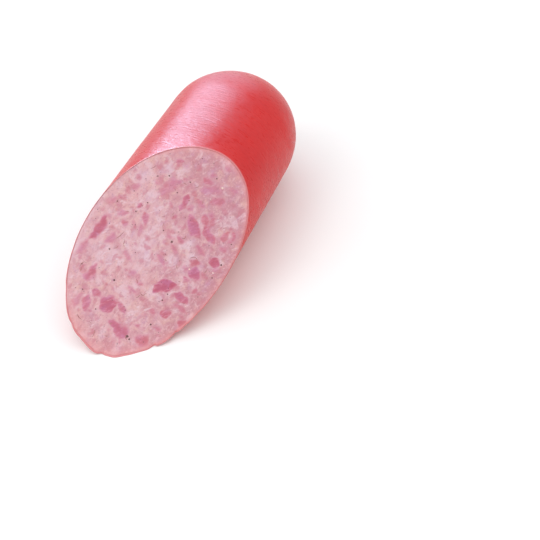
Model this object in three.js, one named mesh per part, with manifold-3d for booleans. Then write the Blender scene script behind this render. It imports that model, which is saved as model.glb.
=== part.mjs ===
// The rounded end of a ham sausage, cut across on a slant and lying on its side.
//
// Units are millimetres, +Z is up. The sausage's axis runs along +Y, from the slanting cut to the
// closed end. Three pieces: the film casing, the meat inside it, and the metal clip that closes
// the gathered end of the casing.
import * as THREE from "three";
import { mergeVertices } from "three/addons/utils/BufferGeometryUtils.js";
import Module from "manifold-3d";

const manifold = await Module();
manifold.setup();

// Driving dimensions.
const sausageRadius = 32.5;
const straightLength = 81; // along the axis, from the cut to the shoulder of the closed end
const casingWall = 0.4;
const clearance = 0.3; // between pieces that touch
const segments = 60; // around the sausage, so that a vertex stands every 6 degrees
const cutSlant = THREE.MathUtils.degToRad(51); // of the cut, away from square to the axis
const cutTurn = THREE.MathUtils.degToRad(30); // of the cut's high side, from the top towards +X
const settledAngle = THREE.MathUtils.degToRad(16); // half of the underside that has settled flat

// The closed end: a dome, drawn in round the place where the casing is gathered.
const domeRise = 38;
const dimpleDepth = 4.2;
const dimpleSpread = 10;
const domeRings = 14;
const neckRadius = 3;
const neckLength = 3.8;
const tailRadius = 4.6;
const tailLength = 4.2;

// The clip: a bar bent round the neck, its two ends not quite meeting.
const clipWidth = 3.2; // along the neck
const clipThickness = 2.2;
const clipCorner = 0.7;
const clipEndGap = THREE.MathUtils.degToRad(26);
const clipSteps = 28;

const farAhead = 2 * sausageRadius; // uncut meat reaches this far in front of the cut

// A closed geometry as a manifold-3d solid.
function solidOf(geometry) {
  const bare = geometry.clone();
  bare.deleteAttribute("normal");
  bare.deleteAttribute("uv");
  const merged = mergeVertices(bare, 1e-3);
  return new manifold.Manifold(
    new manifold.Mesh({
      numProp: 3,
      vertProperties: new Float32Array(merged.getAttribute("position").array),
      triVerts: new Uint32Array(merged.index.array),
    }),
  );
}

// A manifold-3d solid as a geometry with flat-shaded faces.
function geometryOf(solid) {
  const mesh = solid.getMesh();
  const geometry = new THREE.BufferGeometry();
  geometry.setAttribute("position", new THREE.BufferAttribute(mesh.vertProperties, 3));
  geometry.setIndex(new THREE.BufferAttribute(mesh.triVerts, 1));
  const faceted = geometry.toNonIndexed();
  faceted.computeVertexNormals();
  return faceted;
}

// How far the closed end stands out past its shoulder, at a distance from the axis.
function endHeight(distance, radius, rise) {
  const dome = rise * Math.sqrt(Math.max(0, 1 - (distance / radius) ** 2));
  return dome - dimpleDepth * Math.exp(-((distance / dimpleSpread) ** 2));
}

// Half of the sausage's lengthwise outline, from the front to the closed end, all of it set in from
// the skin by a distance. It stops at stopRadius from the axis.
function bodyOutline(inset, stopRadius) {
  const radius = sausageRadius - inset;
  const rise = domeRise - inset;
  const outline = [new THREE.Vector2(0, -farAhead), new THREE.Vector2(radius, -farAhead)];
  const lastAngle = Math.acos(stopRadius / radius);
  for (let ring = 0; ring <= domeRings; ring++) {
    const distance = radius * Math.cos((lastAngle * ring) / domeRings);
    const height = endHeight(distance, radius, rise);
    outline.push(new THREE.Vector2(ring === domeRings ? stopRadius : distance, straightLength + height));
  }
  return outline;
}

// Turns an outline round the axis, and lays the underside flat where the sausage rests.
function turned(outline, inset) {
  const geometry = new THREE.LatheGeometry(outline, segments);
  const position = geometry.getAttribute("position");
  const floor = -(sausageRadius * Math.cos(settledAngle) - inset);
  for (let i = 0; i < position.count; i++) {
    position.setZ(i, Math.max(position.getZ(i), floor));
  }
  return solidOf(geometry);
}

// The block that the knife takes away: its back face is the cut.
function cutAway() {
  const size = 8 * sausageRadius;
  const block = new THREE.BoxGeometry(size, size, size);
  block.translate(0, -size / 2, 0);
  block.rotateX(-cutSlant);
  block.rotateY(cutTurn);
  return solidOf(block);
}

function meatFilling(knife) {
  const inset = casingWall + clearance;
  return turned(bodyOutline(inset, 0), inset).subtract(knife);
}

// The casing, with its gathered neck and the short tail behind the clip.
function casing(knife) {
  const outline = bodyOutline(0, neckRadius);
  const neckStart = outline.at(-1).y;
  const neckEnd = neckStart + neckLength;
  outline.push(
    new THREE.Vector2(neckRadius, neckEnd),
    new THREE.Vector2((neckRadius + 2 * tailRadius) / 3, neckEnd + tailLength / 3),
    new THREE.Vector2(tailRadius, neckEnd + tailLength),
    new THREE.Vector2(0, neckEnd + tailLength),
  );
  const hollow = turned(bodyOutline(casingWall, 0), casingWall);
  return turned(outline, 0).subtract(hollow).subtract(knife);
}

// The centre line of the clip's bar, in the plane square to the neck.
class ClipLine extends THREE.Curve {
  constructor(radius) {
    super();
    this.radius = radius;
  }

  getPoint(t, target = new THREE.Vector3()) {
    const angle = clipEndGap / 2 + t * (2 * Math.PI - clipEndGap);
    return target.set(this.radius * Math.sin(angle), 0, this.radius * Math.cos(angle));
  }
}

// A bar's section with rounded corners, centred on its line.
function roundedBar(width, thickness, corner) {
  const [x, y] = [width / 2 - corner, thickness / 2 - corner];
  const section = new THREE.Shape();
  section.absarc(x, y, corner, 0, Math.PI / 2);
  section.absarc(-x, y, corner, Math.PI / 2, Math.PI);
  section.absarc(-x, -y, corner, Math.PI, 1.5 * Math.PI);
  section.absarc(x, -y, corner, 1.5 * Math.PI, 2 * Math.PI);
  return section;
}

function endClip() {
  const line = new ClipLine(neckRadius + clearance + clipThickness / 2);
  return new THREE.ExtrudeGeometry(roundedBar(clipWidth, clipThickness, clipCorner), {
    extrudePath: line,
    steps: clipSteps,
    curveSegments: 2,
  });
}

const casingFilm = new THREE.MeshStandardMaterial({ color: 0xd23c3c, roughness: 0.38, metalness: 0 });
const pinkMeat = new THREE.MeshStandardMaterial({ color: 0xdda5b0, roughness: 0.55, metalness: 0 });
const clipMetal = new THREE.MeshStandardMaterial({ color: 0xc9cbcf, roughness: 0.35, metalness: 1 });

function piece(name, geometry, material) {
  const mesh = new THREE.Mesh(geometry, material);
  mesh.name = name;
  return mesh;
}

const knife = cutAway();
const neckMiddle =
  straightLength + endHeight(neckRadius, sausageRadius, domeRise) + neckLength / 2 + clearance / 2;

const sausage = new THREE.Group();
sausage.add(piece("meat_filling", geometryOf(meatFilling(knife)), pinkMeat));
sausage.add(piece("casing", geometryOf(casing(knife)), casingFilm));
const clip = piece("end_clip", endClip(), clipMetal);
clip.position.y = neckMiddle;
sausage.add(clip);

// The origin is under the middle of the sausage, on the surface that it lies on.
const bounds = new THREE.Box3().setFromObject(sausage);
const middle = bounds.getCenter(new THREE.Vector3());
sausage.position.set(-middle.x, -middle.y, -bounds.min.z);

export default sausage;
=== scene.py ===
# The rounded end of a ham sausage, cut across on a slant and lying on its side.
#
# Lengths are in metres and +Z is up. The sausage's axis runs along +Y, from the slanting cut to the
# closed end. The pieces are the meat, with its lean pieces, pepper and fat; the red film casing,
# pleated where it is gathered; and the metal clip that closes it.
import itertools
import math

import bpy
import numpy as np
from mathutils import Matrix, Vector


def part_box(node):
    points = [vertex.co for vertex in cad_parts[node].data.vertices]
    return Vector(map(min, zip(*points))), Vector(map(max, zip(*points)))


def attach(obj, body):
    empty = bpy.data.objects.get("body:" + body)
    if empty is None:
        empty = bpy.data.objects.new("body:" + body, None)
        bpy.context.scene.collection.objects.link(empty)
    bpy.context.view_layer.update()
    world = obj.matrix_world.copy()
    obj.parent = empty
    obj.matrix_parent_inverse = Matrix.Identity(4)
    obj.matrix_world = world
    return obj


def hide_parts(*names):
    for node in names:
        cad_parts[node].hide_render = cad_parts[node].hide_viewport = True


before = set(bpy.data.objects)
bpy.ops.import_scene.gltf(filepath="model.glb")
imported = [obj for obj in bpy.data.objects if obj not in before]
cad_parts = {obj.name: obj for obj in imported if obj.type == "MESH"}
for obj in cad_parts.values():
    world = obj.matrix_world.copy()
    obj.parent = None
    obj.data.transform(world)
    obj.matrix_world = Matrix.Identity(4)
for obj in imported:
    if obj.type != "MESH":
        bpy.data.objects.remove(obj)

MM = 0.001
FULL_TURN = 2 * math.pi

# ---------------------------------------------------------------------------------------------
# Sizes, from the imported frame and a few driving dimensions
# ---------------------------------------------------------------------------------------------

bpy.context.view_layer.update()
casing_low, casing_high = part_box("casing")
clip_low, clip_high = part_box("end_clip")

RADIUS = (casing_high.x - casing_low.x) / 2
AXIS_HEIGHT = casing_high.z - RADIUS
CUT_SLANT = math.radians(51)  # of the cut, away from square to the axis
CUT_TURN = math.radians(30)  # of the cut's high side, from the top towards +X
CUT_MIDDLE = casing_low.y + RADIUS * math.tan(CUT_SLANT)  # where the axis meets the cut
STRAIGHT_LENGTH = 81 * MM
SHOULDER = CUT_MIDDLE + STRAIGHT_LENGTH

DOME_RISE = 38 * MM
DIMPLE_DEPTH = 4.2 * MM
DIMPLE_SPREAD = 10 * MM
NECK_RADIUS = 3 * MM
FILM = 0.2 * MM  # thickness of the casing
FIT = 0.05 * MM  # between the casing and the meat
LOBE_DEPTH = 0.018  # the section is a little three-sided, by this share of its radius
LOBE_TURN = math.radians(10)
SETTLED_EDGE = 1.7 * MM  # over which the settled underside bends up into the side

# Where the cut's edge reaches forward or is nicked: the middle and half width in degrees from the
# top towards +X, how far forward in millimetres, and over how many it fades into the cut.
EDGE_CHANGES = [
    (180, 16, 2.1, 5.0),
    (188, 5.0, 0.8, 1.5),
    (217, 13, -1.2, 4.0),
    (134, 1.5, -0.6, 1.0),
    (143, 1.5, -0.5, 1.0),
    (150.5, 1.8, -1.6, 1.2),
    (157, 2.0, 0.3, 1.0),
    (164, 1.8, -1.4, 1.2),
    (199, 2.2, -0.7, 1.0),
    (224, 3.5, 0.15, 1.0),
    (232, 2.5, -0.3, 1.0),
    (256, 4.0, -0.4, 1.0),
    (278, 3.0, -0.3, 1.0),
]

# Directions in the cut: up its slope, across it, and out of it.
SLOPE = Vector((
    math.sin(CUT_TURN) * math.cos(CUT_SLANT),
    math.sin(CUT_SLANT),
    math.cos(CUT_TURN) * math.cos(CUT_SLANT),
))
ACROSS = Vector((math.cos(CUT_TURN), 0, -math.sin(CUT_TURN)))
OUT = ACROSS.cross(SLOPE)
# Turns a place into one across, up and out of the cut.
TO_CUT = Matrix((ACROSS, SLOPE, OUT)).to_euler()

# The cut's middle, and about half its width and height, for what is strewn over it.
CUT_CENTRE = (0, CUT_MIDDLE, AXIS_HEIGHT)
STREWN_ACROSS = 31  # in millimetres
STREWN_UP = 49
TINY = 1e-9  # keeps a sum or a length from being nothing


# ---------------------------------------------------------------------------------------------
# Shapes that several pieces share
# ---------------------------------------------------------------------------------------------

def smooth_step(low, high, value):
    """0 below low, 1 above high, and a smooth rise between."""
    share = np.clip((value - low) / (high - low), 0, 1)
    return share * share * (3 - 2 * share)


def smooth_least(first, second, blend):
    """The smaller of two values, rounded over where they cross."""
    share = np.clip(0.5 + 0.5 * (second - first) / blend, 0, 1)
    return second * (1 - share) + first * share - blend * share * (1 - share)


def ripple(points, wavelength, seed):
    """Smooth random values from -1 to 1 at points in space."""
    cells = 32
    values = np.random.default_rng(seed).uniform(-1, 1, (cells, cells, cells))
    place = np.asarray(points, float) / wavelength
    cell = np.floor(place).astype(int)
    part = place - cell
    part = part * part * (3 - 2 * part)
    total = np.zeros(place.shape[:-1])
    for corner in itertools.product((0, 1), repeat=3):
        weight = np.prod(np.where(corner, part, 1 - part), axis=-1)
        at = (cell + corner) % cells
        total += weight * values[at[..., 0], at[..., 1], at[..., 2]]
    return total


def ripples(points, layers, more_seed=0):
    """Ripples laid over each other; each has its height and size in millimetres, and its seed."""
    total = 0
    for height, size, seed in layers:
        total = total + height * ripple(points, size * MM, seed + more_seed)
    return total


def strewn_place(random, share):
    """A random place in the inner share of the cut's area, in millimetres across and up its slope."""
    from_middle = math.sqrt(random.uniform(0, share))
    turn = random.uniform(0, FULL_TURN)
    return STREWN_ACROSS * from_middle * math.cos(turn), STREWN_UP * from_middle * math.sin(turn)


def bell(value, half_width):
    """1 where the value is 0, dying away over the half width to both sides."""
    return np.exp(-((value / half_width) ** 2))


def skin_radius(angle):
    """How far the casing's outside stands from the axis. The angle runs from the top towards +X."""
    round_skin = RADIUS * (1 - LOBE_DEPTH * np.cos(3 * (angle - LOBE_TURN)))
    downwards = np.maximum(-np.cos(angle), 1e-3)
    return smooth_least(round_skin, AXIS_HEIGHT / downwards, SETTLED_EDGE)


def cut_at(x, z):
    """How far along the axis the cut lies, at a place in the section measured from the axis."""
    return CUT_MIDDLE + math.tan(CUT_SLANT) * (x * math.sin(CUT_TURN) + z * math.cos(CUT_TURN))


def edge_forward(angle, inwards):
    """How far the cut reaches forward at its low edge, where the knife came out, or is nicked."""
    forward = np.zeros(np.broadcast(angle, inwards).shape)
    for middle, half_width, reach, fade in EDGE_CHANGES:
        near = bell(np.degrees(angle) % 360 - middle, half_width)
        forward += reach * MM * near * np.exp(-inwards / (fade * MM))
    return forward


def meat_edge(angle):
    """How far the meat's outside stands from the axis."""
    return skin_radius(angle) - FILM - FIT


def low_side(angle):
    """1 at the cut's low end and 0 at its high one."""
    return 0.5 - 0.5 * np.cos(angle - CUT_TURN)


def dome_height(distance):
    """How far the closed end stands out past its shoulder, at a distance from the axis."""
    dome = DOME_RISE * np.sqrt(np.maximum(0, 1 - (distance / RADIUS) ** 2))
    return dome - DIMPLE_DEPTH * bell(distance, DIMPLE_SPREAD)


def ring(angle, radius, along):
    """Points round the axis."""
    x, z = radius * np.sin(angle), radius * np.cos(angle)
    return np.stack(np.broadcast_arrays(x, along, AXIS_HEIGHT + z), axis=-1)


def band_faces(first_row, second_row):
    """Quads between two closed rows of vertex numbers."""
    corners = [first_row, np.roll(first_row, -1), np.roll(second_row, -1), second_row]
    return np.stack(corners, axis=-1)


def tube_faces(rows):
    """Quads between each closed row of vertex numbers and the next."""
    return [band_faces(rows[row], rows[row + 1]) for row in range(len(rows) - 1)]


def fan_faces(row, tip):
    """Triangles from a closed row to one vertex."""
    return np.stack([row, np.roll(row, -1), np.full_like(row, tip)], axis=-1)


def in_scene(name, data):
    """A new object in the scene."""
    made = bpy.data.objects.new(name, data)
    bpy.context.scene.collection.objects.link(made)
    return made


def closed_piece(name, points, faces, finish):
    """A piece made of points and faces, its faces turned outwards."""
    mesh = bpy.data.meshes.new(name)
    mesh.from_pydata(points.tolist(), [], [face for group in faces for face in group.tolist()])
    mesh.update()
    volume = 0.0
    for face in mesh.polygons:
        volume += face.center.dot(face.normal) * face.area
    if volume < 0:
        mesh.flip_normals()
    mesh.polygons.foreach_set("use_smooth", [True] * len(mesh.polygons))
    mesh.materials.append(finish)
    return in_scene(name, mesh)


def keep_number(piece, name, values):
    """Stores one number for each vertex, for the finish to read."""
    layer = piece.data.attributes.new(name, "FLOAT", "POINT")
    layer.data.foreach_set("value", np.asarray(values, np.float32))


# ---------------------------------------------------------------------------------------------
# Finishes
# ---------------------------------------------------------------------------------------------

def colour(red, green, blue):
    """A linear colour from screen values of 0 to 255."""
    screen = np.array([red, green, blue]) / 255
    linear = np.where(screen <= 0.04045, screen / 12.92, ((screen + 0.055) / 1.055) ** 2.4)
    return (*linear.tolist(), 1.0)


def feed(tree, socket, value):
    """Links a node's output to a socket, or gives the socket a value."""
    if isinstance(value, bpy.types.NodeSocket):
        tree.links.new(value, socket)
    else:
        socket.default_value = value


def add_node(tree, kind, inputs=None, **settings):
    """A new node with its settings and inputs."""
    made = tree.nodes.new(kind)
    for name, value in settings.items():
        setattr(made, name, value)
    for key, value in (inputs or {}).items():
        feed(tree, made.inputs[key], value)
    return made


class Finish:
    """A procedural material, with short ways to add its nodes."""

    def __init__(self, name, settings):
        self.material = bpy.data.materials.new(name)
        self.material.use_nodes = True
        self.tree = self.material.node_tree
        self.tree.nodes.clear()
        self.shader = self.tree.nodes.new("ShaderNodeBsdfPrincipled")
        output = self.tree.nodes.new("ShaderNodeOutputMaterial")
        self.tree.links.new(self.shader.outputs["BSDF"], output.inputs["Surface"])
        self.set(settings)
        self.place = self.node("ShaderNodeTexCoord").outputs["Object"]

    def node(self, kind, inputs=None, **settings):
        return add_node(self.tree, kind, inputs, **settings)

    def stored(self, name):
        """A number kept on the mesh."""
        return self.node("ShaderNodeAttribute", attribute_name=name).outputs["Fac"]

    def turned(self, turn, place=None):
        """The place after a turn."""
        inputs = {"Vector": place or self.place, "Rotation": turn}
        return self.node("ShaderNodeMapping", inputs).outputs[0]

    def stretched(self, scale, place=None):
        """The place with each axis scaled, so that a pattern is drawn out along the small ones."""
        inputs = {"Vector": place or self.place, "Scale": scale}
        return self.node("ShaderNodeMapping", inputs).outputs[0]

    def noise(self, size, detail=2.0, roughness=0.5, place=None, warp=0.0):
        """Soft noise whose lumps are about the given size in metres."""
        inputs = {
            "Vector": place or self.place,
            "Scale": 1 / size,
            "Detail": detail,
            "Roughness": roughness,
            "Distortion": warp,
        }
        return self.node("ShaderNodeTexNoise", inputs).outputs["Fac"]

    def cells(self, size, place=None):
        """The distance to the nearest of many scattered points, and a random value for each."""
        made = self.node("ShaderNodeTexVoronoi", {"Vector": place or self.place, "Scale": 1 / size})
        return made.outputs["Distance"], made.outputs["Color"]

    def rise(self, value, low, high, to_low=0.0, to_high=1.0):
        """A smooth rise from to_low to to_high as the value goes from low to high."""
        inputs = {
            "Value": value,
            "From Min": low,
            "From Max": high,
            "To Min": to_low,
            "To Max": to_high,
        }
        return self.node("ShaderNodeMapRange", inputs, interpolation_type="SMOOTHSTEP").outputs[0]

    def sum(self, first, second):
        return self.node("ShaderNodeMath", {0: first, 1: second}, operation="ADD").outputs[0]

    def times(self, first, second):
        return self.node("ShaderNodeMath", {0: first, 1: second}, operation="MULTIPLY").outputs[0]

    def mix(self, share, first, second):
        """The first colour, with a share of the second."""
        return self.node("ShaderNodeMix", {0: share, 6: first, 7: second}, data_type="RGBA").outputs[2]

    def tinted(self, under, tints):
        """A colour with others laid over it, each by a rise of its own pattern."""
        for pattern, low, high, to_low, to_high, tint in tints:
            share = self.rise(pattern, low, high, to_low, to_high)
            under = self.mix(share, under, colour(*tint))
        return under

    def bump(self, height, distance, strength=1.0, after=None):
        """A surface raised by a pattern, on top of another bump where there is one."""
        inputs = {"Height": height, "Distance": distance, "Strength": strength}
        if after is not None:
            inputs["Normal"] = after
        return self.node("ShaderNodeBump", inputs).outputs[0]

    def set(self, inputs):
        for socket, value in inputs.items():
            feed(self.tree, self.shader.inputs[socket], value)


def meat_finish():
    """Moist pink meat paste with paler fat, lean pieces, and a painted salmon glow at the edge where light
    would come through the red casing.
    """
    finish = Finish("pink_meat", {
        "Specular IOR Level": 0.4,
        "Subsurface Weight": 0.1,
        "Subsurface Scale": 1.0 * MM,
        "Subsurface Radius": (1.0, 0.42, 0.32),
    })
    on_face = finish.turned(TO_CUT)
    flattened = finish.stretched((1, 0.6, 1), on_face)
    up_left = finish.turned((0, 0, math.radians(35)), on_face)
    grain = finish.noise(0.8 * MM, 3.0, 0.6)
    drawn = finish.noise(1.5 * MM, 3.0, 0.6, place=finish.stretched((1, 0.5, 1), on_face), warp=0.5)
    ragged = finish.sum(drawn, -0.5)

    meat = paste_colour(finish, flattened, up_left, grain, drawn)
    meat = add_crumbs(finish, meat, flattened, ragged)
    meat = add_lean(finish, meat, up_left, ragged)

    # Pepper dust.
    for size, width, share in ((2.9 * MM, 0.11, 0.75), (1.7 * MM, 0.14, 0.6)):
        dust, dust_kind = finish.cells(size)
        kept = finish.rise(dust_kind, 0.7, 0.72, 0, share)
        dust_share = finish.times(finish.rise(dust, width, width / 2), kept)
        meat = finish.mix(dust_share, meat, colour(121, 86, 92))

    # Painted light: a salmon glow at the cut's edge, where light through the red casing would reach the thin
    # meat.
    meat = finish.mix(finish.stored("skin"), meat, colour(229, 149, 150))
    finish.set({"Base Color": meat})
    finish.set({"Roughness": finish.rise(grain, 0.3, 0.7, 0.45, 0.62)})
    fine = finish.bump(grain, 0.08 * MM, 0.6)
    finish.set({"Normal": finish.bump(drawn, 0.08 * MM, 0.5, after=fine)})
    return finish.material


def paste_colour(finish, flattened, up_left, grain, drawn):
    """The pink paste, mottled at four sizes, with soft patches and threads of fat, darker towards the upper
    right and with painted shade on the lip.
    """
    hue = finish.noise(3.4 * MM, 4.0, 0.62, place=flattened, warp=0.4)
    blotch = finish.noise(5.5 * MM, 3.0, 0.55, warp=0.4)
    # The paste darkens and greys towards the upper right; on the lip this darkening is painted shade.
    paste = finish.mix(finish.stored("shade"), colour(211, 159, 163), colour(193, 136, 146))
    paste = finish.tinted(paste, (
        (hue, 0.3, 0.48, 0.8, 0, (195, 142, 166)),
        (hue, 0.5, 0.7, 0, 0.9, (214, 168, 162)),
        (blotch, 0.34, 0.49, 0.66, 0, (192, 129, 140)),
        (blotch, 0.52, 0.66, 0, 0.62, (220, 187, 196)),
        (drawn, 0.28, 0.44, 0.7, 0, (194, 126, 141)),
        (drawn, 0.55, 0.72, 0, 0.6, (223, 184, 190)),
        (grain, 0.3, 0.46, 0.5, 0, (168, 118, 128)),
        (grain, 0.56, 0.72, 0, 0.5, (228, 186, 191)),
    ))
    soft_fat = finish.times(finish.stored("pale"), finish.rise(drawn, 0.3, 0.6, 0.45, 1.0))
    paste = finish.mix(soft_fat, paste, colour(219, 193, 207))
    threads = finish.noise(1.1 * MM, 2.0, 0.6, place=finish.stretched((1, 0.3, 1), up_left), warp=0.5)
    in_patches = finish.rise(finish.noise(9 * MM, 2.0), 0.46, 0.62)
    thread_share = finish.times(finish.rise(threads, 0.52, 0.72, 0, 0.6), in_patches)
    return finish.mix(thread_share, paste, colour(225, 199, 209))


def add_crumbs(finish, paste, flattened, ragged):
    """Crumbs of lean too small to count, some of them darker round the edge."""
    crumb, kind = finish.cells(2.6 * MM, flattened)
    edge = finish.sum(crumb, finish.times(ragged, 0.9))
    share = finish.times(finish.rise(edge, 0.46, 0.2), finish.rise(kind, 0.5, 0.62, 0, 0.52))
    paste = finish.mix(share, paste, colour(192, 117, 133))
    rim = finish.times(finish.rise(edge, 0.5, 0.42), finish.rise(edge, 0.3, 0.38))
    rim_share = finish.times(rim, finish.rise(kind, 0.62, 0.66, 0, 0.12))
    return finish.mix(rim_share, paste, colour(163, 100, 105))


def add_lean(finish, paste, up_left, ragged):
    """The lean pieces, in lilac, rose and red-brown, with a pale edge round the strong ones."""
    deep = finish.stored("lean")
    strong = finish.stored("strength")
    halo = finish.times(finish.rise(deep, -3.6, -1.5), finish.rise(strong, 0.4, 0.9, 0, 0.5))
    paste = finish.mix(halo, paste, colour(221, 179, 190))
    tone = finish.noise(3.0 * MM, 3.0, 0.6, place=finish.stretched((1, 0.6, 1), up_left), warp=0.4)
    fibre = finish.noise(0.9 * MM, 2.0, 0.6, place=finish.stretched((1, 0.3, 1), up_left))
    lean = finish.mix(finish.stored("salmon"), colour(192, 108, 139), colour(197, 104, 117))
    lean = finish.mix(finish.times(finish.stored("dark"), 0.8), lean, colour(178, 78, 103))
    lean = finish.tinted(lean, (
        (tone, 0.32, 0.5, 0.65, 0, (193, 123, 160)),
        (tone, 0.5, 0.66, 0, 0.6, (187, 86, 100)),
        (deep, 0.6, 3.6, 0, 0.35, (174, 78, 105)),
        (fibre, 0.5, 0.7, 0, 0.45, (214, 149, 169)),
        (fibre, 0.3, 0.45, 0.35, 0, (166, 82, 105)),
    ))
    edge = finish.sum(deep, finish.times(ragged, 1.6))
    return finish.mix(finish.times(finish.rise(edge, -1.0, 1.0), strong), paste, lean)


def casing_finish():
    """Red film with fine marks round the sausage, painted shade in its folds, and a pale cut edge."""
    finish = Finish("casing_film", {"Specular IOR Level": 0.32})
    streaks = finish.noise(0.75 * MM, 3.0, 0.65, place=finish.stretched((0.1, 1.0, 0.1)), warp=0.3)
    streaks = finish.rise(streaks, 0.34, 0.66)
    short = finish.noise(0.9 * MM, 2.0, 0.6, place=finish.stretched((0.35, 1.0, 0.35)))
    short = finish.rise(short, 0.3, 0.7)
    patches = finish.noise(6 * MM, 2.0)
    broad = finish.noise(30 * MM, 2.0)
    film = finish.mix(finish.rise(broad, 0.35, 0.65), colour(198, 26, 28), colour(205, 32, 31))
    film = finish.mix(finish.times(short, 0.35), film, colour(215, 50, 49))
    film = finish.mix(finish.times(streaks, 0.2), film, colour(186, 24, 32))
    # Painted shade: darker red down in the pleats, in the tail's folds and in its crumpled hollow.
    film = finish.mix(finish.times(finish.stored("fold"), 0.5), film, colour(150, 16, 24))
    film = finish.mix(finish.stored("edge"), film, colour(218, 138, 142))
    finish.set({"Base Color": film})
    finish.set({"Roughness": finish.rise(finish.sum(streaks, short), 0.2, 1.8, 0.26, 0.46)})
    fine = finish.bump(streaks, 0.035 * MM, 0.7)
    fine = finish.bump(short, 0.04 * MM, 0.7, after=fine)
    fine = finish.bump(finish.noise(0.7 * MM, 3.0, 0.65), 0.03 * MM, 0.6, after=fine)
    finish.set({"Normal": finish.bump(patches, 0.14 * MM, 0.35, after=fine)})
    return finish.material


def clip_finish():
    """Satin aluminium with drawing marks along the bar."""
    finish = Finish("clip_metal", {"Metallic": 1.0})
    scratches = finish.noise(0.35 * MM, 3.0, 0.7, place=finish.stretched((0.15, 1, 0.15)))
    dull = finish.noise(1.6 * MM, 2.0)
    metal = finish.mix(finish.rise(dull, 0.35, 0.7), colour(214, 216, 219), colour(188, 190, 194))
    finish.set({"Base Color": metal})
    finish.set({"Roughness": finish.rise(scratches, 0.3, 0.7, 0.26, 0.46)})
    finish.set({"Normal": finish.bump(scratches, 0.02 * MM, 0.6)})
    return finish.material


def mottled_finish(name, settings, size, colours, depth):
    """Two colours in fine lumps that also roughen the surface."""
    finish = Finish(name, settings)
    grain = finish.noise(size, 2.0)
    finish.set({"Base Color": finish.mix(finish.rise(grain, 0.35, 0.65), *colours)})
    finish.set({"Normal": finish.bump(grain, depth)})
    return finish.material


def pepper_finish():
    colours = colour(74, 40, 42), colour(128, 84, 84)
    return mottled_finish("cracked_pepper", {"Roughness": 0.7}, 0.3 * MM, colours, 0.05 * MM)


def thread_finish():
    colours = colour(158, 98, 98), colour(188, 132, 128)
    settings = {"Roughness": 0.5, "Specular IOR Level": 0.4}
    return mottled_finish("brown_tissue", settings, 0.5 * MM, colours, 0.03 * MM)


def fat_finish():
    colours = colour(228, 192, 184), colour(236, 206, 196)
    settings = {"Roughness": 0.35, "Subsurface Weight": 0.2, "Subsurface Scale": 0.8 * MM}
    return mottled_finish("white_fat", settings, 0.4 * MM, colours, 0.03 * MM)


# ---------------------------------------------------------------------------------------------
# The meat
# ---------------------------------------------------------------------------------------------

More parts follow.
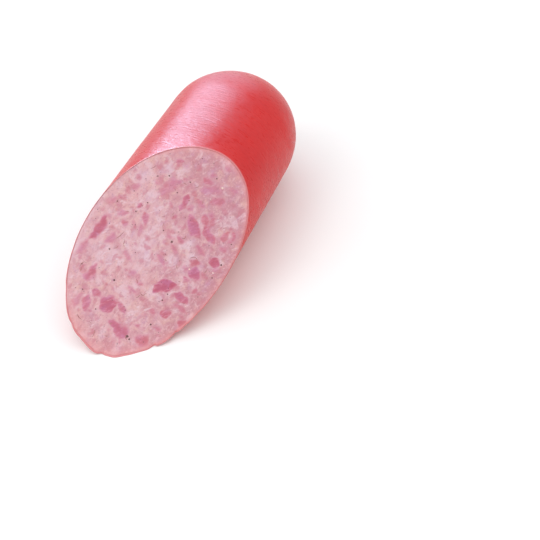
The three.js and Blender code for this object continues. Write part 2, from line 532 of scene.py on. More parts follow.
# Lean pieces on the cut, in millimetres and degrees: place across and up the slope, length, width,
# turn from across towards up the slope, softness of the edge, strength, salmon share, dark share.
LEAN_PIECES = [
    (12, -11, 9.3, 5.3, 43, 0.30, 1.00, 0.25, 0.45),
    (21, -11, 7, 3.5, -3, 0.35, 0.93, 0.35, 0.20),
    (-4, -31, 7.6, 6.8, 80, 0.45, 0.97, 0.30, 0.15),
    (6.3, -37.4, 9.6, 4.8, -9, 0.60, 0.93, 0.25, 0.15),
    (17.3, -35.4, 5.2, 4.5, 30, 0.60, 0.88, 0.85, 0.20),
    (-26, -6, 11.8, 3.6, 88, 0.55, 0.94, 0.35, 0.45),
    (-18, -24, 7.7, 3.4, 94, 0.55, 0.86, 0.20, 0.10),
    (-11, -30, 4, 3, 20, 0.40, 0.86, 0.25, 0.15),
    (-12, -36, 6.5, 3.3, 114, 0.50, 0.86, 0.25, 0.15),
    (2, -29, 5.5, 2.5, -22, 0.45, 0.82, 0.05, 0.10),
    (7, 18, 9, 4.5, -41, 0.45, 0.90, 0.00, 0.05),
    (10, 23.3, 5, 3.2, -40, 0.45, 0.82, 0.85, 0.10),
    (14, 19, 7, 3.3, -38, 0.45, 0.89, 0.55, 0.20),
    (17, 18, 4.5, 2.5, -38, 0.40, 0.89, 0.45, 0.30),
    (-2, 25, 5.5, 2.5, 98, 0.35, 0.93, 0.30, 0.50),
    (-2, 22, 3, 2.2, 98, 0.40, 0.86, 0.20, 0.20),
    (4, 28, 4.5, 1.8, -10, 0.45, 0.74, 0.25, 0.15),
    (10, 33, 5, 3.5, 30, 0.80, 0.78, 0.30, 0.15),
    (1, 38, 4, 3, 10, 0.60, 0.78, 0.45, 0.30),
    (-14, 38, 3.4, 2, 30, 0.40, 0.86, 0.45, 0.35),
    (-12, 9, 5, 2.6, -50, 0.45, 0.82, 0.15, 0.10),
    (-17, 12, 2.6, 1.7, 80, 0.35, 0.89, 0.40, 0.45),
    (-18, 2, 2.8, 2.2, 0, 0.40, 0.86, 1.00, 0.10),
    (-19, -7, 5, 2.8, 75, 0.80, 0.74, 0.00, 0.00),
    (-27, -17, 7, 2.5, 90, 0.80, 0.70, 0.20, 0.00),
    (17, 5, 4.5, 3, 40, 0.50, 0.89, 0.90, 0.50),
    (19.5, 1.2, 5.5, 4.2, 0, 0.40, 0.95, 0.00, 0.35),
    (24, 10, 5, 3.7, 0, 0.35, 0.96, 0.45, 0.65),
    (18, -3, 3, 2, -20, 0.40, 0.86, 0.35, 0.20),
    (24, -5, 3.2, 1.8, 80, 0.40, 0.78, 0.45, 0.10),
    (19.3, -20.7, 4.2, 3.8, 30, 0.40, 0.92, 0.95, 0.35),
    (14, -23, 3, 1.8, -10, 0.50, 0.74, 0.45, 0.10),
    (27.3, -20, 4, 2.4, 60, 0.40, 0.92, 0.50, 0.50),
    (23, -15, 6, 2, -5, 0.50, 0.74, 0.50, 0.15),
    (20, -28, 3.5, 1.8, 0, 0.55, 0.70, 0.50, 0.10),
    (-3, -14, 3.2, 2.2, 20, 0.70, 0.70, 0.45, 0.00),
    (2, -16, 3.5, 1.5, 10, 0.50, 0.74, 0.45, 0.15),
    (1, -20, 4.5, 1.5, -10, 0.50, 0.70, 0.15, 0.05),
    (-9, -9, 5, 2, -20, 0.70, 0.62, 0.35, 0.00),
    (4, -2, 5.5, 1.8, -20, 0.45, 0.74, 0.20, 0.10),
    (6, 5, 5, 1.8, -25, 0.70, 0.62, 0.10, 0.00),
    (16, 11, 5, 2.2, -15, 0.55, 0.70, 0.20, 0.05),
    (6, 10, 4, 2, -10, 0.50, 0.74, 0.30, 0.20),
    (1, 8, 2.5, 2, 0, 0.60, 0.66, 0.30, 0.00),
    (21, 22, 5, 2.8, 90, 0.45, 0.78, 0.70, 0.10),
    (24, 25, 3.2, 1.8, -40, 0.45, 0.74, 0.40, 0.20),
    (24, 17, 3, 2, 0, 0.50, 0.70, 0.50, 0.10),
    (-11, 26, 9, 4, 74, 1.10, 0.62, 0.10, 0.00),
    (-9, 30, 3, 2, 40, 0.50, 0.74, 0.40, 0.30),
    (-16, 25, 3.3, 2, 30, 0.70, 0.66, 0.30, 0.00),
    (-23, 18, 3.4, 2.2, 60, 0.70, 0.62, 0.20, 0.00),
    (-28, 7, 4.5, 2, 75, 0.80, 0.62, 0.30, 0.00),
    (-22, 5, 3.2, 1.8, 60, 0.60, 0.66, 0.30, 0.10),
    (-11, 4, 4, 2, -60, 0.80, 0.57, 0.10, 0.00),
    (5, 36, 8, 4, 40, 1.20, 0.57, 0.05, 0.00),
    (13, 41, 4, 2.5, 10, 0.90, 0.53, 0.20, 0.00),
    (5, 47, 3, 2, 0, 0.70, 0.53, 0.40, 0.00),
    (12, 26, 4.5, 2, -35, 0.60, 0.66, 0.20, 0.10),
    (-16, -37, 6, 2.5, 95, 0.80, 0.62, 0.20, 0.00),
    (9.7, 17.8, 6, 1.8, -40, 0.40, 0.90, 0.45, 0.60),
    (-2, 16.5, 2.6, 1.6, 60, 0.40, 0.75, 0.50, 0.40),
    (12, -31.5, 2.2, 1.6, 30, 0.45, 0.75, 0.60, 0.40),
    (24.4, 22.6, 3.4, 2, 70, 0.45, 0.70, 0.30, 0.30),
    (-22, -24.5, 3, 1.6, 85, 0.50, 0.65, 0.50, 0.40),
    (-20.5, 5.6, 3, 1.8, 60, 0.45, 0.70, 0.40, 0.20),
]

# Cracked pepper on the cut, in millimetres: place across and up the slope, and width.
PEPPER = [
    (-7.6, -21, 0.9), (16.5, -28, 0.8), (11, -37.6, 1.2), (27, 11, 0.8), (3.3, 7, 1.0), (-17, -11, 0.7),
    (-26, 8, 0.6), (-15, 15, 0.6), (-17, 9, 0.6), (-18, 27, 0.6), (-14, 30, 0.7), (-7, 26, 0.6),
    (-5, 33, 0.6), (3.6, 41, 0.6), (-2.5, 9, 0.6), (25.5, 21, 0.6), (27, 4, 0.6), (15, -13, 0.6),
    (-16.5, -32, 0.6), (-7, -36, 0.6), (-23, -23, 0.6), (14.6, -16.5, 0.7), (12.5, -38, 0.8),
]
# Bits of white fat, in the same way.
FAT = [(8, 39, 0.95), (16.5, 1.5, 0.8), (26, 6, 0.7), (-12, 20, 0.6)]

# Thin brown threads of tissue on the cut: place across and up the slope, length, direction, and how
# many degrees they curl through.
THREADS = [
    (-16.6, -3.5, 5.0, 75, 25), (-13.2, -5.4, 3.5, 120, -60), (-15, -8.8, 2.5, 60, 80),
    (6, -19, 4, 10, 220), (5, -21, 2.5, 70, 60), (-23, -23, 3.5, 80, -70),
    (-22, -25.3, 2.5, 110, 60), (-1.6, -45.6, 4.5, 100, 50), (6.7, 11.6, 3.0, 60, 190),
    (-10.8, -43, 3.5, -20, 60), (3.5, -43.1, 2, 30, 40), (-21.7, 29, 3, 60, 40),
    (15.6, 6.6, 5, 20, -150), (-3.2, 17.5, 1.6, 80, 40), (-6, 13.9, 1.5, 40, 80),
    (-4, 11, 1.8, 100, 60), (11, -38.5, 2.2, -30, 40),
]

# Soft pale patches in the paste: place across and up the slope, width, and how pale.
PALE_PATCHES = [
    (-23, 23, 3, 0.6), (-15, 32, 2.6, 0.6), (-10, 37, 1.8, 0.5), (2, 24, 2.2, 0.5),
    (18, 29, 2, 0.2), (18, 33.5, 1.8, 0.2), (-14, -12, 2.6, 0.6), (-21, -14, 4, 0.35),
    (-1, -5, 2.2, 0.6), (-6, -1, 2.6, 0.5), (2, -24, 3, 0.3), (13.5, -16.5, 2.4, 0.5),
    (-4, -41, 4, 0.3), (10.2, 11.5, 1.8, 0.6), (10, 8.5, 1.6, 0.55), (7.5, 0.5, 2.2, 0.6),
    (14.8, 6.8, 1.7, 0.5), (14.5, -0.5, 2, 0.35), (-15, 18, 3, 0.3), (-9, 16, 4, 0.25),
]

SQUARES = 250  # across the cut
WALL_ROWS = 12
SIDE = SQUARES + 1  # vertices along a side of the cut's grid

# Crumbs of lean and pits strewn between the listed pieces.
CRUMBS = 140
PITS = 46
CRUMB_SOFTNESS = 0.45
CRUMB_SEED = 21
PIT_SEED = 9
PIT_DEPTH = 0.28  # of a pit's width

# Ripples: height and size in millimetres, and seed.
RAGGED = [(0.75, 3.0, 4), (0.3, 1.2, 6)]  # of the lean pieces' outlines, across and, a seed on, up
UNEVEN = [(0.22, 14, 31), (0.07, 3.1, 32), (0.035, 1.1, 33)]  # of the cut
KNIFE_MARKS = [(0.03, 1.7, 34)]

DEEPEST = 4  # the largest depth inside a lean piece that is told apart
OUTLINE = 0.56  # from a piece's middle to its outline, of its listed length or width
MOST_PAINTED_GLOW = 0.85  # how strong the painted salmon glow at the cut's edge gets, and the wall behind the cut is


def across_and_up(points):
    """Places on the cut, in millimetres across and up its slope."""
    x, z = points[..., 0], points[..., 2] - AXIS_HEIGHT
    across = x * math.cos(CUT_TURN) - z * math.sin(CUT_TURN)
    up = (x * math.sin(CUT_TURN) + z * math.cos(CUT_TURN)) / math.cos(CUT_SLANT)
    return across / MM, up / MM


def disc_grid(squares):
    """A square grid drawn out into a disc: each vertex's share of the radius, and its angle."""
    line = np.linspace(-1, 1, squares + 1)
    across, up = np.meshgrid(line, line)
    wide = np.abs(across) > np.abs(up)
    radius = np.where(wide, across, up)
    wide_turn = math.pi / 4 * up / np.where(wide, across, 1)
    tall_turn = math.pi / 2 - math.pi / 4 * across / np.where(~wide & (up != 0), up, 1)
    turn = np.where(wide, wide_turn, tall_turn)
    angle = np.arctan2(radius * np.sin(turn), radius * np.cos(turn))
    return np.abs(radius), angle


def lie_on_cut(across, up):
    """Points on the cut as it stands, with its relief, at places in millimetres."""
    cut = np.array(CUT_CENTRE) + np.outer(across, ACROSS) * MM + np.outer(up, SLOPE) * MM
    x, z = cut[:, 0], cut[:, 2] - AXIS_HEIGHT
    angle = np.arctan2(x, z)
    cut[:, 1] -= edge_forward(angle, meat_edge(angle) - np.hypot(x, z))
    depth = lean_fields(cut, across, up)[0]
    return cut + np.outer(relief(cut, across, up, depth), OUT)


def scattered_crumbs():
    """Small faint lean pieces between the ones that are listed."""
    random = np.random.default_rng(CRUMB_SEED)
    for _ in range(CRUMBS):
        across, up = strewn_place(random, 0.9)
        length = random.uniform(1.0, 3.2)
        width = length * random.uniform(0.4, 0.8)
        salmon = random.uniform(0.1, 0.8)
        turn = random.uniform(-60, 60)
        strength = random.uniform(0.2, 0.6)
        dark = random.uniform(0, 0.6)
        yield across, up, length, width, turn, CRUMB_SOFTNESS, strength, salmon, dark


def lean_fields(points, across, up):
    """For each place on the cut: how deep inside a lean piece it is, and that piece's looks."""
    shift_across, shift_up = ripples(points, RAGGED), ripples(points, RAGGED, 1)
    depth = np.full(across.shape, -float(DEEPEST))
    strength, salmon, dark = np.zeros((3, *across.shape))
    total = np.full(across.shape, TINY)
    for number, piece in enumerate([*LEAN_PIECES, *scattered_crumbs()]):
        middle_across, middle_up, length, width, turn, soft, strong, salmon_share, dark_share = piece
        turn = math.radians(turn)
        bend = min(1.0, width / 4)
        off_across = across - middle_across + bend * shift_across
        off_up = up - middle_up + bend * shift_up
        half_length, half_width = OUTLINE * length, OUTLINE * width
        lengthwise = (off_across * math.cos(turn) + off_up * math.sin(turn)) / half_length
        widthwise = (-off_across * math.sin(turn) + off_up * math.cos(turn)) / half_width
        around = np.arctan2(widthwise, lengthwise)
        corners = 0.09 * np.cos(3 * around + number) + 0.06 * np.cos(5 * around + 2.3 * number)
        reach = np.hypot(lengthwise, widthwise) / (1 + corners)
        steepness = np.hypot(lengthwise / half_length, widthwise / half_width) + TINY
        inside = (1 - reach) * reach / steepness / (1.35 * soft)
        inside = np.clip(inside, -DEEPEST, DEEPEST)
        near = np.exp(1.5 * inside)
        depth = np.maximum(depth, inside)
        total += near
        strength += near * strong
        salmon += near * salmon_share
        dark += near * dark_share
    return depth, strength / total, salmon / total, dark / total


def relief(points, across, up, lean_depth):
    """How far the cut stands out of its plane, in metres."""
    height = ripples(points, UNEVEN)
    height += ripples(points * np.array([1, 0.25, 1]), KNIFE_MARKS)
    # Lean pieces stand up a little, with a groove round them.
    edge = np.clip(lean_depth, -2, 2)
    height += 0.06 * smooth_step(-1, 1.5, edge) - 0.05 * np.exp(-((edge + 0.3) ** 2) / 0.5)
    random = np.random.default_rng(PIT_SEED)
    for _ in range(PITS):
        pit_across, pit_up = strewn_place(random, 0.92)
        width = random.uniform(0.3, 0.75)
        height -= PIT_DEPTH * width * bell(np.hypot(across - pit_across, up - pit_up), width)
    return height * MM


def depth_behind(points, radius):
    """How far the meat goes back square to the cut before it meets the casing, in metres."""
    x, z = points[..., 0], points[..., 2] - AXIS_HEIGHT
    step_x, step_z = -OUT.x, -OUT.z
    # The way back meets the casing at the root of a quadratic with these three terms.
    square = step_x**2 + step_z**2
    linear = x * step_x + z * step_z
    constant = np.minimum(x**2 + z**2 - radius**2, 0)
    return (-linear + np.sqrt(linear**2 - square * constant)) / square


def painted_glow_share(face, angle, inwards, left_side):
    """How strong the painted salmon glow is at places on the cut: light that would come through the red
    casing into the thin meat at the edge.
    """
    right_side = 0.5 + 0.5 * np.cos(angle - math.radians(80))
    skin = 0.28 * np.exp(-depth_behind(face, meat_edge(angle)) / (2.2 * MM))
    skin += 0.34 * low_side(angle) ** 3 * np.exp(-inwards / (1.8 * MM))
    skin += 0.65 * smooth_step(0.25, 0.7, right_side) * np.exp(-inwards / (0.9 * MM))
    return np.clip(skin * (1 - 0.6 * left_side), 0, MOST_PAINTED_GLOW)


def darker_paste_and_lip_shade(across, up, angle, inwards):
    """How much darker and greyer the paste is: more so towards the upper right, and on the lip, where it is
    painted shade that keeps the bent-forward lip from looking lighter.
    """
    # Painted shade on the lip, which bends forward and up and would otherwise catch more light.
    lip = bell(np.degrees(angle) % 360 - 173, 26) * np.exp(-inwards / (5 * MM))
    upper_right = smooth_step(-0.2, 0.55, (0.55 * across + 0.35 * up) / 30)
    return np.clip(upper_right + 1.2 * lip, 0, 1)


def pale_share(across, up, inwards, left_side):
    """How pale the paste is: more so in the middle, in small patches and along the left edge."""
    pale = 0.3 * np.exp(-(((across + 6) / 13) ** 2) - ((up + 3) / 15) ** 2)
    for patch_across, patch_up, width, share in PALE_PATCHES:
        pale += share * bell(np.hypot(across - patch_across, up - patch_up), width)
    pale += 0.6 * left_side * np.exp(-inwards / (2.2 * MM))
    return np.clip(pale, 0, 0.85)


def meat_wall(angle):
    """Rows of points behind the cut, from its rim to the closed end, and the point on its tip."""
    radius = meat_edge(angle)
    cut = cut_at(radius * np.sin(angle), radius * np.cos(angle))
    cut -= edge_forward(angle, 0.0)
    rows = []
    for part in np.linspace(0, 1, WALL_ROWS + 1)[1:]:
        rows.append(ring(angle, radius, cut + (SHOULDER - cut) * part))
    for turn in np.linspace(0, math.pi / 2, WALL_ROWS + 1)[1:-1]:
        along = SHOULDER + dome_height(RADIUS * math.cos(turn)) - FILM - FIT
        rows.append(ring(angle, radius * math.cos(turn), along))
    tip = np.array([[0, SHOULDER + dome_height(0) - FILM - FIT, AXIS_HEIGHT]])
    return rows, tip


def make_meat():
    share, angle = disc_grid(SQUARES)
    meat_radius = meat_edge(angle)
    radius = share * meat_radius
    x, z = radius * np.sin(angle), radius * np.cos(angle)
    inwards = (1 - share) * meat_radius
    face = np.stack([x, cut_at(x, z) - edge_forward(angle, inwards), AXIS_HEIGHT + z], axis=-1)
    across, up = across_and_up(face)
    lean_depth, strength, salmon, dark = lean_fields(face, across, up)

    stands_out = relief(face, across, up, lean_depth) * smooth_step(0, 1.2 * MM, inwards)
    rounded = -0.18 * MM * np.exp(-inwards / (0.35 * MM))
    face = face + np.array(OUT) * (stands_out + rounded)[..., None]
    left_side = bell(np.degrees(angle) % 360 - 280, 32)

    number = np.arange(SIDE * SIDE).reshape(SIDE, SIDE)
    rim = np.concatenate([number[0, :-1], number[:-1, -1], number[-1, :0:-1], number[:0:-1, 0]])
    rows, tip = meat_wall(angle.reshape(-1)[rim])
    points = np.concatenate([face.reshape(-1, 3), *rows, tip])
    hidden = len(points) - SIDE * SIDE

    squares = [number[:-1, :-1], number[:-1, 1:], number[1:, 1:], number[1:, :-1]]
    wall = SIDE * SIDE + np.arange(len(rows) * len(rim)).reshape(len(rows), len(rim))
    wall_faces = [band[:, ::-1] for band in tube_faces([rim, *wall])]
    closed_end = fan_faces(wall[-1], len(points) - 1)[:, ::-1]
    faces = [np.stack(squares, -1).reshape(-1, 4), *wall_faces, closed_end]

    meat = closed_piece("ham_meat", points, faces, meat_finish())
    for name, values, behind in (
        ("lean", lean_depth, -DEEPEST),
        ("strength", strength, 0),
        ("salmon", salmon, 0),
        ("dark", dark, 0),
        ("skin", painted_glow_share(face, angle, inwards, left_side), MOST_PAINTED_GLOW),
        ("shade", darker_paste_and_lip_shade(across, up, angle, inwards), 0),
        ("pale", pale_share(across, up, inwards, left_side), 0),
    ):
        keep_number(meat, name, np.concatenate([values.reshape(-1), np.full(hidden, behind)]))
    return meat


# ---------------------------------------------------------------------------------------------
# Small bits in the cut: pepper and fat, placed by Geometry Nodes, and threads
# ---------------------------------------------------------------------------------------------

BIT_ROUGHNESS = 0.55
THREAD_RADIUS = 0.15 * MM
THREAD_FLATNESS = 0.6
THREAD_STEPS = 14
THREAD_SIDES = 6
STREWN_THREADS = 16
STREWN_THREAD_SEED = 81


def bit_scatter(name):
    """A node tree that puts one small rough bit on each point, turned and sized by its numbers."""
    tree = bpy.data.node_groups.new(name, "GeometryNodeTree")
    for label, kind, default in (
        ("Points", "NodeSocketGeometry", None),
        ("Flatness", "NodeSocketFloat", 0.6),
        ("Roughness", "NodeSocketFloat", 0.3),
        ("Finish", "NodeSocketMaterial", None),
    ):
        socket = tree.interface.new_socket(label, in_out="INPUT", socket_type=kind)
        if default is not None:
            socket.default_value = default
    tree.interface.new_socket("Bits", in_out="OUTPUT", socket_type="NodeSocketGeometry")

    def node(kind, inputs=None, **settings):
        return add_node(tree, kind, inputs, **settings)

    def kept(name, data_type):
        return node("GeometryNodeInputNamedAttribute", {"Name": name}, data_type=data_type).outputs[0]

    given = node("NodeGroupInput").outputs

    # One lump, pushed out of round by noise.
    ball = node("GeometryNodeMeshIcoSphere", {"Radius": 0.5, "Subdivisions": 2})
    lump = node("ShaderNodeTexNoise", {"Scale": 1.6, "Detail": 1.0})
    half = (0.5, 0.5, 0.5)
    centred = node("ShaderNodeVectorMath", {0: lump.outputs["Color"], 1: half}, operation="SUBTRACT")
    push = {0: centred.outputs[0], "Scale": given["Roughness"]}
    pushed = node("ShaderNodeVectorMath", push, operation="SCALE")
    rough = node("GeometryNodeSetPosition", {"Geometry": ball.outputs[0], "Offset": pushed.outputs[0]})

    # A copy of it on each point, flattened towards the cut.
    size = kept("size", "FLOAT")
    flat = node("ShaderNodeMath", {0: size, 1: given["Flatness"]}, operation="MULTIPLY")
    scale = node("ShaderNodeCombineXYZ", {"X": size, "Y": size, "Z": flat.outputs[0]})
    spin = node("FunctionNodeEulerToRotation", {"Euler": kept("turn", "FLOAT_VECTOR")})
    put = node("GeometryNodeInstanceOnPoints", {
        "Points": given["Points"],
        "Instance": rough.outputs[0],
        "Rotation": spin.outputs[0],
        "Scale": scale.outputs[0],
    })
    real = node("GeometryNodeRealizeInstances", {"Geometry": put.outputs[0]})
    bits = {"Geometry": real.outputs[0], "Material": given["Finish"]}
    finished = node("GeometryNodeSetMaterial", bits)
    tree.links.new(finished.outputs[0], node("NodeGroupOutput").inputs["Bits"])
    return tree


def scatter_bits(name, places, finish, flatness, seed):
    """One piece made of a bit at each place, half sunk in the cut."""
    random = np.random.default_rng(seed)
    across, up, widths = np.array(places).T
    mesh = bpy.data.meshes.new(name)
    mesh.from_pydata(lie_on_cut(across, up).tolist(), [], [])
    sizes = mesh.attributes.new("size", "FLOAT", "POINT")
    sizes.data.foreach_set("value", (widths * MM).astype(np.float32))
    turns = mesh.attributes.new("turn", "FLOAT_VECTOR", "POINT")
    lying = OUT.to_track_quat("Z", "Y").to_matrix()
    for number in range(len(places)):
        spin = lying @ Matrix.Rotation(random.uniform(0, FULL_TURN), 3, "Z")
        turns.data[number].vector = spin.to_euler()

    holder = in_scene(name + "_points", mesh)
    scatter = holder.modifiers.new("bits", "NODES")
    scatter.node_group = bit_scatter(name + "_scatter")
    wanted = {"Flatness": flatness, "Roughness": BIT_ROUGHNESS, "Finish": finish}
    for socket in scatter.node_group.interface.items_tree:
        if socket.in_out == "INPUT" and socket.name in wanted:
            scatter[socket.identifier] = wanted[socket.name]
    evaluated = holder.evaluated_get(bpy.context.evaluated_depsgraph_get())
    bits_mesh = bpy.data.meshes.new_from_object(evaluated)
    bpy.data.objects.remove(holder)

    bits_mesh.name = name
    bits_mesh.materials.clear()
    bits_mesh.materials.append(finish)
    bits_mesh.polygons.foreach_set("material_index", [0] * len(bits_mesh.polygons))
    return in_scene(name, bits_mesh)


def listed_and_strewn(listed, extra, least, most, seed):
    """The listed bits, and smaller ones strewn between them."""
    random = np.random.default_rng(seed)
    places = list(listed)
    for _ in range(extra):
        place = strewn_place(random, 0.9)
        places.append((*place, random.uniform(least, most)))
    return places


def make_pepper():
    places = listed_and_strewn(PEPPER, 40, 0.25, 0.42, seed=61)
    return scatter_bits("pepper_grains", places, pepper_finish(), flatness=0.5, seed=62)


def make_fat():
    places = listed_and_strewn(FAT, 10, 0.3, 0.5, seed=71)
    return scatter_bits("fat_bits", places, fat_finish(), flatness=0.45, seed=72)


def all_threads():
    """The listed threads, and short faint ones strewn between them."""
    yield from THREADS
    random = np.random.default_rng(STREWN_THREAD_SEED)
    for _ in range(STREWN_THREADS):
        across, up = strewn_place(random, 0.85)
        length = random.uniform(1.0, 2.2)
        turn = random.uniform(0, 180)
        curl = random.uniform(-90, 90)
        yield across, up, length, turn, curl


def make_threads():
    """Thin curled strands, tapering to both ends, half sunk in the cut."""
    rows, faces = [], []
    sides = np.linspace(0, FULL_TURN, THREAD_SIDES, endpoint=False)
    for across, up, length, turn, curl in all_threads():
        heading = np.radians(turn + curl * np.linspace(-0.5, 0.5, THREAD_STEPS))
        strides = np.stack([np.cos(heading), np.sin(heading)], axis=-1) * length / THREAD_STEPS
        path = np.cumsum(strides, axis=0)
        path += np.array([across, up]) - path.mean(axis=0)
        line = lie_on_cut(*path.T)
        along = np.gradient(line, axis=0)
        along /= np.linalg.norm(along, axis=1, keepdims=True)
        sideways = np.cross(along, np.array(OUT))
        thick = THREAD_RADIUS * np.sin(np.linspace(0.15, math.pi - 0.15, THREAD_STEPS)) ** 0.5
        first = len(rows) * THREAD_SIDES
        for middle, side, wide in zip(line, sideways, thick):
            flattened = THREAD_FLATNESS * np.outer(np.sin(sides), OUT)
            rows.append(middle + wide * (np.outer(np.cos(sides), side) + flattened))
        number = first + np.arange(THREAD_STEPS * THREAD_SIDES).reshape(THREAD_STEPS, THREAD_SIDES)
        faces += tube_faces(number)
        faces += [number[0][None, ::-1], number[-1][None, :]]
    return closed_piece("tissue_threads", np.concatenate(rows), faces, thread_finish())


# ---------------------------------------------------------------------------------------------
# The casing
# ---------------------------------------------------------------------------------------------

COLUMNS = 432  # round the sausage
INSIDE_STEPS = 12  # along the straight stretch
INSIDE_DOME_STEPS = 14
STRAIGHT_STEPS = 55
DOME_STEPS = 69
LUMPY_ROWS = 40  # past the shoulder
LUMPS = [(0.16, 17, 46), (0.05, 6, 47)]  # height and size in millimetres, and seed
EDGE_SEED = 44
NECK_STEPS = 8
TAIL_STEPS = 14
PLEATS = 30
PLEAT_SEED = 41
PLEAT_REACH = 20 * MM  # from the axis, where the pleats have died away
PLEAT_HEIGHT = 0.75 * MM
NECK_PLEAT_HEIGHT = 0.25 * MM
TAIL_FOLDS = 11
TAIL_FOLD_SEED = 51
TAIL_END_SEED = 52
TAIL_FOLD_HEIGHT = 1.5 * MM
TAIL_SPREAD = 2.1 * MM
END_FOLD_SHADE = 0.6  # how much painted shade the crumpled hollow at the end of the tail gets


def steps(count, start=0.0, end=1.0):
    """The ends of a number of equal steps, without the start."""
    return np.linspace(start, end, count + 1)[1:]


def on_circle(angle):
    """Points on a circle of radius 1, for noise that goes round it without a seam."""
    return np.stack([np.sin(angle), np.cos(angle), np.zeros_like(angle)], axis=-1)


def pleat_wave(angle, count, seed):
    """Uneven folds round the axis, with sharp ridges and wide valleys, from 0 to 1."""
    broad = ripple(on_circle(angle), 0.55, seed)
    fine = ripple(on_circle(angle), 0.2, seed + 1)
    uneven = angle * count / 2 + 1.9 * broad + 0.7 * fine
    return 1 - np.abs(np.sin(uneven))


def ragged_edge(angle):
    """How far the casing's cut edge stands forward of the cut."""
    ragged = 0.06 + 0.06 * ripple(on_circle(angle), 0.12, EDGE_SEED)
    torn = 0.12 + 0.4 * ripple(on_circle(angle), 0.16, EDGE_SEED + 1)
    ragged += smooth_step(0.55, 1, low_side(angle)) * torn
    return np.maximum(ragged, 0.0) * MM + edge_forward(angle, 0.0)


def straight_row(angle, radius, edge, part):
    """Points round the straight stretch; part runs from 0 at the cut to 1 at the shoulder."""
    start = cut_at(radius * np.sin(angle), radius * np.cos(angle)) - edge
    return ring(angle, radius, start + (SHOULDER - start) * part)


def dome_row(angle, turn, inset):
    """Distances from the axis, and how far along it, for a row on the closed end."""
    flattened = (skin_radius(angle) / RADIUS - 1) * math.cos(turn) + 1
    distance = RADIUS * math.cos(turn) * flattened - inset * math.cos(turn)
    along = SHOULDER + dome_height(RADIUS * math.cos(turn)) - inset * math.sin(turn)
    return np.maximum(distance, 1e-5), along


def casing_inside(angle, edge):
    """Rows of points on the inner side of the film, from its closed end to the cut."""
    rows = []
    for turn in steps(INSIDE_DOME_STEPS, 0, math.pi / 2)[:-1]:
        rows.append(ring(angle, *dome_row(angle, turn, FILM)))
    rows.reverse()
    for part in np.linspace(1, 0, INSIDE_STEPS + 1):
        rows.append(straight_row(angle, skin_radius(angle) - FILM, edge, part))
    return rows


def casing_outside(angle, edge, pleats):
    """Rows on the outer side of the film, from the cut to the neck, and how deep in a fold each is, which
    the finish paints as shade.
    """
    rows, folds = [], []
    for part in np.linspace(0, 1, STRAIGHT_STEPS + 1) ** 1.15:
        rows.append(straight_row(angle, skin_radius(angle), edge, part))
        folds.append(np.zeros(COLUMNS))
    for turn in steps(DOME_STEPS, 0, math.acos(NECK_RADIUS / RADIUS)):
        distance, along = dome_row(angle, turn, 0)
        from_axis = RADIUS * math.cos(turn)
        gathered = smooth_step(PLEAT_REACH, 5 * MM, from_axis)
        height = gathered * PLEAT_HEIGHT * smooth_step(1 * MM, 9 * MM, from_axis)
        rows.append(ring(angle, distance, along + height * (pleats - 0.4)))
        folds.append(gathered * (1 - pleats))
    return add_lumps(rows), folds


def add_lumps(rows):
    """Soft lumps in the skin, fading out at the cut's edge and towards the neck."""
    fade_start = STRAIGHT_STEPS + 2
    fade_end = fade_start + LUMPY_ROWS
    lumpy = list(rows)
    for row in range(1, fade_end):
        points = rows[row]
        fade = min(1, row / 8) * smooth_step(fade_end, fade_start, np.array(float(row)))
        from_axis = points - np.array([0, 0, AXIS_HEIGHT])
        from_axis[:, 1] = 0
        outwards = from_axis / np.linalg.norm(from_axis, axis=1, keepdims=True)
        lumpy[row] = points + outwards * (ripples(points, LUMPS) * fade * MM)[:, None]
        lumpy[row][:, 2] = np.maximum(lumpy[row][:, 2], 0)
    return lumpy


def neck_and_tail(angle, pleats):
    """Rows and folds of the neck under the clip, and of the tail that fans out behind it; the folds are
    painted as shade.
    """
    rows, folds = [], []
    start = SHOULDER + dome_height(NECK_RADIUS)
    end = clip_high.y + 0.35 * MM
    for part in steps(NECK_STEPS):
        radius = NECK_RADIUS + NECK_PLEAT_HEIGHT * (pleats - 0.3)
        rows.append(ring(angle, radius, start + (end - start) * part))
        folds.append(1 - pleats)

    tail_folds = pleat_wave(angle, TAIL_FOLDS, TAIL_FOLD_SEED)
    for part in steps(TAIL_STEPS):
        radius = NECK_RADIUS + TAIL_SPREAD * part**0.8
        radius = radius + NECK_PLEAT_HEIGHT * (1 - part) * (pleats - 0.3)
        radius = radius + TAIL_FOLD_HEIGHT * part * (tail_folds - 0.35)
        uneven = part * (0.35 * ripple(on_circle(angle), 0.35, TAIL_END_SEED) - 0.4) * MM
        rows.append(ring(angle, radius, end + (casing_high.y - end) * part + uneven))
        folds.append((1 - pleats) * (1 - part) + (1 - tail_folds) * part)

    # The crumpled hollow in the end of the tail, painted darker as shade.
    end_radius = NECK_RADIUS + TAIL_SPREAD + TAIL_FOLD_HEIGHT * (tail_folds - 0.35)
    for part in np.linspace(1, 0, 9)[1:-1]:
        dip = 1.3 * MM * (1 - part) ** 0.7
        crumpled = 0.5 * MM * part * (tail_folds - 0.5)
        rows.append(ring(angle, end_radius * part, casing_high.y - 0.4 * MM - dip + crumpled))
        folds.append(np.full(COLUMNS, END_FOLD_SHADE))
    return rows, folds


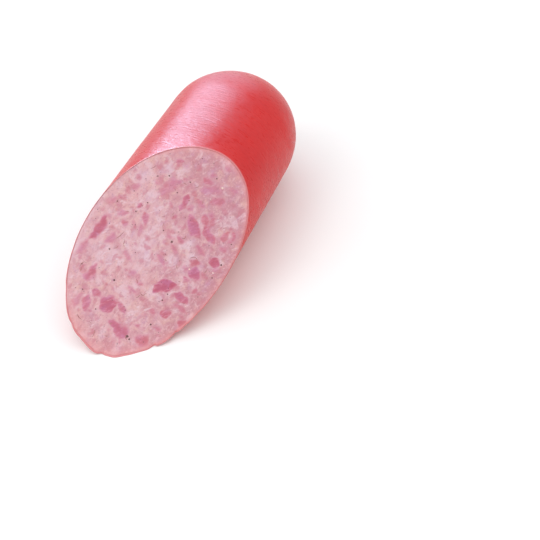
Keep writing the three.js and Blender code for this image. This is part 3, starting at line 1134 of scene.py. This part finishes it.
def make_casing():
    angle = np.linspace(0, FULL_TURN, COLUMNS, endpoint=False)
    edge = ragged_edge(angle)
    pleats = pleat_wave(angle, PLEATS, PLEAT_SEED)
    inner_rows = casing_inside(angle, edge)
    outer_rows, outer_folds = casing_outside(angle, edge, pleats)
    tail_rows, tail_folds = neck_and_tail(angle, pleats)

    rows = [*inner_rows, *outer_rows, *tail_rows]
    start_tip = np.array([[0, SHOULDER + dome_height(0) - FILM, AXIS_HEIGHT]])
    end_tip = np.array([[0, casing_high.y - 1.7 * MM, AXIS_HEIGHT]])
    points = np.concatenate([*rows, start_tip, end_tip])
    number = np.arange(len(rows) * COLUMNS).reshape(len(rows), COLUMNS)
    faces = tube_faces(number)
    faces.append(fan_faces(number[0], len(points) - 2)[:, ::-1])
    faces.append(fan_faces(number[-1], len(points) - 1))
    casing = closed_piece("red_film", points, faces, casing_finish())

    unfolded = np.zeros(len(inner_rows) * COLUMNS)
    # How deep in a fold each vertex is, which the finish paints as shade.
    fold = np.concatenate([unfolded, *outer_folds, *tail_folds, [0, END_FOLD_SHADE]])
    keep_number(casing, "fold", np.clip(fold, 0, 1))
    pale_edge = np.zeros(len(points))
    first_outer = len(inner_rows)
    pale_edge[number[first_outer - 1]] = 1
    pale_edge[number[first_outer]] = 1
    pale_edge[number[first_outer + 1]] = 0.4
    keep_number(casing, "edge", pale_edge)
    return casing


# ---------------------------------------------------------------------------------------------
# The clip
# ---------------------------------------------------------------------------------------------

CLIP_THICKNESS = 2.2 * MM
CLIP_CORNER = 0.7 * MM
CLIP_GAP = math.radians(26)
CLIP_STEPS = 150
CORNER_STEPS = 5
CLIP_END_LENGTH = 0.8 * MM  # over which the bar's ends are rounded
CLIP_END_SIZE = 0.45  # of the bar's section, at its very ends
JAW_DENT = 0.22 * MM  # pressed into the bar by the jaws that close it
RIBS = 46
RIB_HEIGHT = 0.05 * MM


def make_clip():
    width = clip_high.y - clip_low.y
    middle_along = (clip_high.y + clip_low.y) / 2
    line_radius = (clip_high.x - clip_low.x - CLIP_THICKNESS) / 2
    section = []
    for corner, (side_y, side_r) in enumerate(((1, 1), (-1, 1), (-1, -1), (1, -1))):
        for step in range(CORNER_STEPS + 1):
            turn = math.pi / 2 * (corner + step / CORNER_STEPS)
            y = side_y * (width / 2 - CLIP_CORNER) + CLIP_CORNER * math.cos(turn)
            r = side_r * (CLIP_THICKNESS / 2 - CLIP_CORNER) + CLIP_CORNER * math.sin(turn)
            section.append((y, r))
    section = np.array(section)

    rows = []
    first_end, second_end = CLIP_GAP / 2, FULL_TURN - CLIP_GAP / 2
    for angle in np.linspace(first_end, second_end, CLIP_STEPS):
        from_end = line_radius * min(angle - first_end, second_end - angle)
        round_end = math.sqrt(1 - (1 - min(from_end / CLIP_END_LENGTH, 1)) ** 2)
        size = CLIP_END_SIZE + (1 - CLIP_END_SIZE) * round_end
        dent = JAW_DENT * max(0, math.cos(2 * angle)) ** 6
        rib = RIB_HEIGHT * math.cos(RIBS * angle)
        outer = section[:, 1] > 0
        radius = line_radius + section[:, 1] * size + np.where(outer, rib - dent, 0)
        rows.append(ring(np.full(len(section), angle), radius, middle_along + section[:, 0] * size))
    points = np.concatenate(rows)
    number = np.arange(len(points)).reshape(CLIP_STEPS, len(section))
    faces = tube_faces(number)
    faces.append(fan_faces(number[0], len(points))[:, ::-1])
    faces.append(fan_faces(number[-1], len(points) + 1))
    tips = [rows[0].mean(axis=0), rows[-1].mean(axis=0)]
    return closed_piece("crimped_clip", np.concatenate([points, tips]), faces, clip_finish())


# ---------------------------------------------------------------------------------------------
# The studio
# ---------------------------------------------------------------------------------------------

CAMERA_TURN = math.radians(21)  # round from looking along +Y
CAMERA_HEIGHT = math.radians(47)  # above the horizon
CAMERA_DISTANCE = 12.12 * RADIUS
AIM_RIGHT = 1.53 * RADIUS  # the camera looks past the cut, towards the lower right
AIM_DOWN = 0.262 * RADIUS
FLOOR_HALF = 3.0
FLOOR_DROP = 0.02 * MM  # under the sausage, so that the two never share a face


def make_camera():
    right = Vector((math.cos(CAMERA_TURN), math.sin(CAMERA_TURN), 0))
    back = Vector((
        math.sin(CAMERA_TURN) * math.cos(CAMERA_HEIGHT),
        -math.cos(CAMERA_TURN) * math.cos(CAMERA_HEIGHT),
        math.sin(CAMERA_HEIGHT),
    ))
    up = back.cross(right)
    aim = Vector(CUT_CENTRE) + right * AIM_RIGHT - up * AIM_DOWN
    data = bpy.data.cameras.new("camera")
    data.lens = 60
    data.sensor_width = 36
    data.clip_start = 0.01
    camera = in_scene("camera", data)
    facing = Matrix((right, up, back)).transposed().to_4x4()
    camera.matrix_world = Matrix.Translation(aim + back * CAMERA_DISTANCE) @ facing
    bpy.context.scene.camera = camera


def softbox(name, direction, distance, size, brightness, tint=(1, 1, 1), long_side=(1, 0, 0)):
    """A soft rectangular light that faces the sausage; brightness is that of its surface."""
    data = bpy.data.lights.new(name, "AREA")
    data.shape = "RECTANGLE"
    data.size, data.size_y = size
    data.energy = brightness * math.pi * data.size * data.size_y
    data.color = tint
    out = Vector(direction).normalized()
    side = Vector(long_side)
    side = (side - out * side.dot(out)).normalized()
    axes = Matrix((side, out.cross(side), out)).transposed().to_4x4()
    light = in_scene(name, data)
    light.matrix_world = Matrix.Translation(Vector((0, 0, AXIS_HEIGHT)) + out * distance) @ axes
    return light


def make_lights():
    """Soft white light all round, and two cool lights that only the gloss of the skin shows."""
    world = bpy.data.worlds.new("studio")
    world.use_nodes = True
    background = world.node_tree.nodes["Background"].inputs
    background["Color"].default_value = (1, 1, 1, 1)
    background["Strength"].default_value = 0.85
    bpy.context.scene.world = world
    cool = (0.44, 0.75, 1.0)
    along_skin = (0.79, 0, 0.62)
    for number, (direction, size, brightness) in enumerate((
        ((-0.49, 0.44, 0.75), (1.04, 0.75), 29.0),
        ((-0.31, 0.91, 0.26), (1.1, 0.5), 2.8),
    )):
        gloss = softbox(f"softbox_behind_{number}", direction, 1.2, size, brightness, cool, along_skin)
        gloss.visible_diffuse = False
    softbox("softbox_front", (-0.5, -0.55, 0.75), 1.3, (0.8, 0.8), 1.7)
    softbox("softbox_above", (0, 0, 1), 1.3, (1.6, 1.6), 0.6)


def make_floor():
    paper = Finish("pale_paper", {"Roughness": 0.9, "Specular IOR Level": 0.1})
    fibre = paper.noise(40 * MM, 2.0)
    paper.set({"Base Color": paper.mix(fibre, colour(247, 247, 247), colour(250, 250, 250))})
    corners = ((-1, -1), (1, -1), (1, 1), (-1, 1))
    mesh = bpy.data.meshes.new("floor")
    mesh.from_pydata([(FLOOR_HALF * x, FLOOR_HALF * y, -FLOOR_DROP) for x, y in corners], [], [(0, 1, 2, 3)])
    mesh.materials.append(paper.material)
    floor = in_scene("floor", mesh)


make_camera()
make_lights()
make_floor()
bpy.context.scene.view_settings.view_transform = "Standard"

meat = make_meat()
pepper = make_pepper()
fat = make_fat()
threads = make_threads()
casing = make_casing()
clip = make_clip()

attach(meat, "root")
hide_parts("meat_filling")

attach(pepper, "root")
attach(fat, "root")
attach(threads, "root")

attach(casing, "root")
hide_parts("casing")

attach(clip, "root")
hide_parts("end_clip")
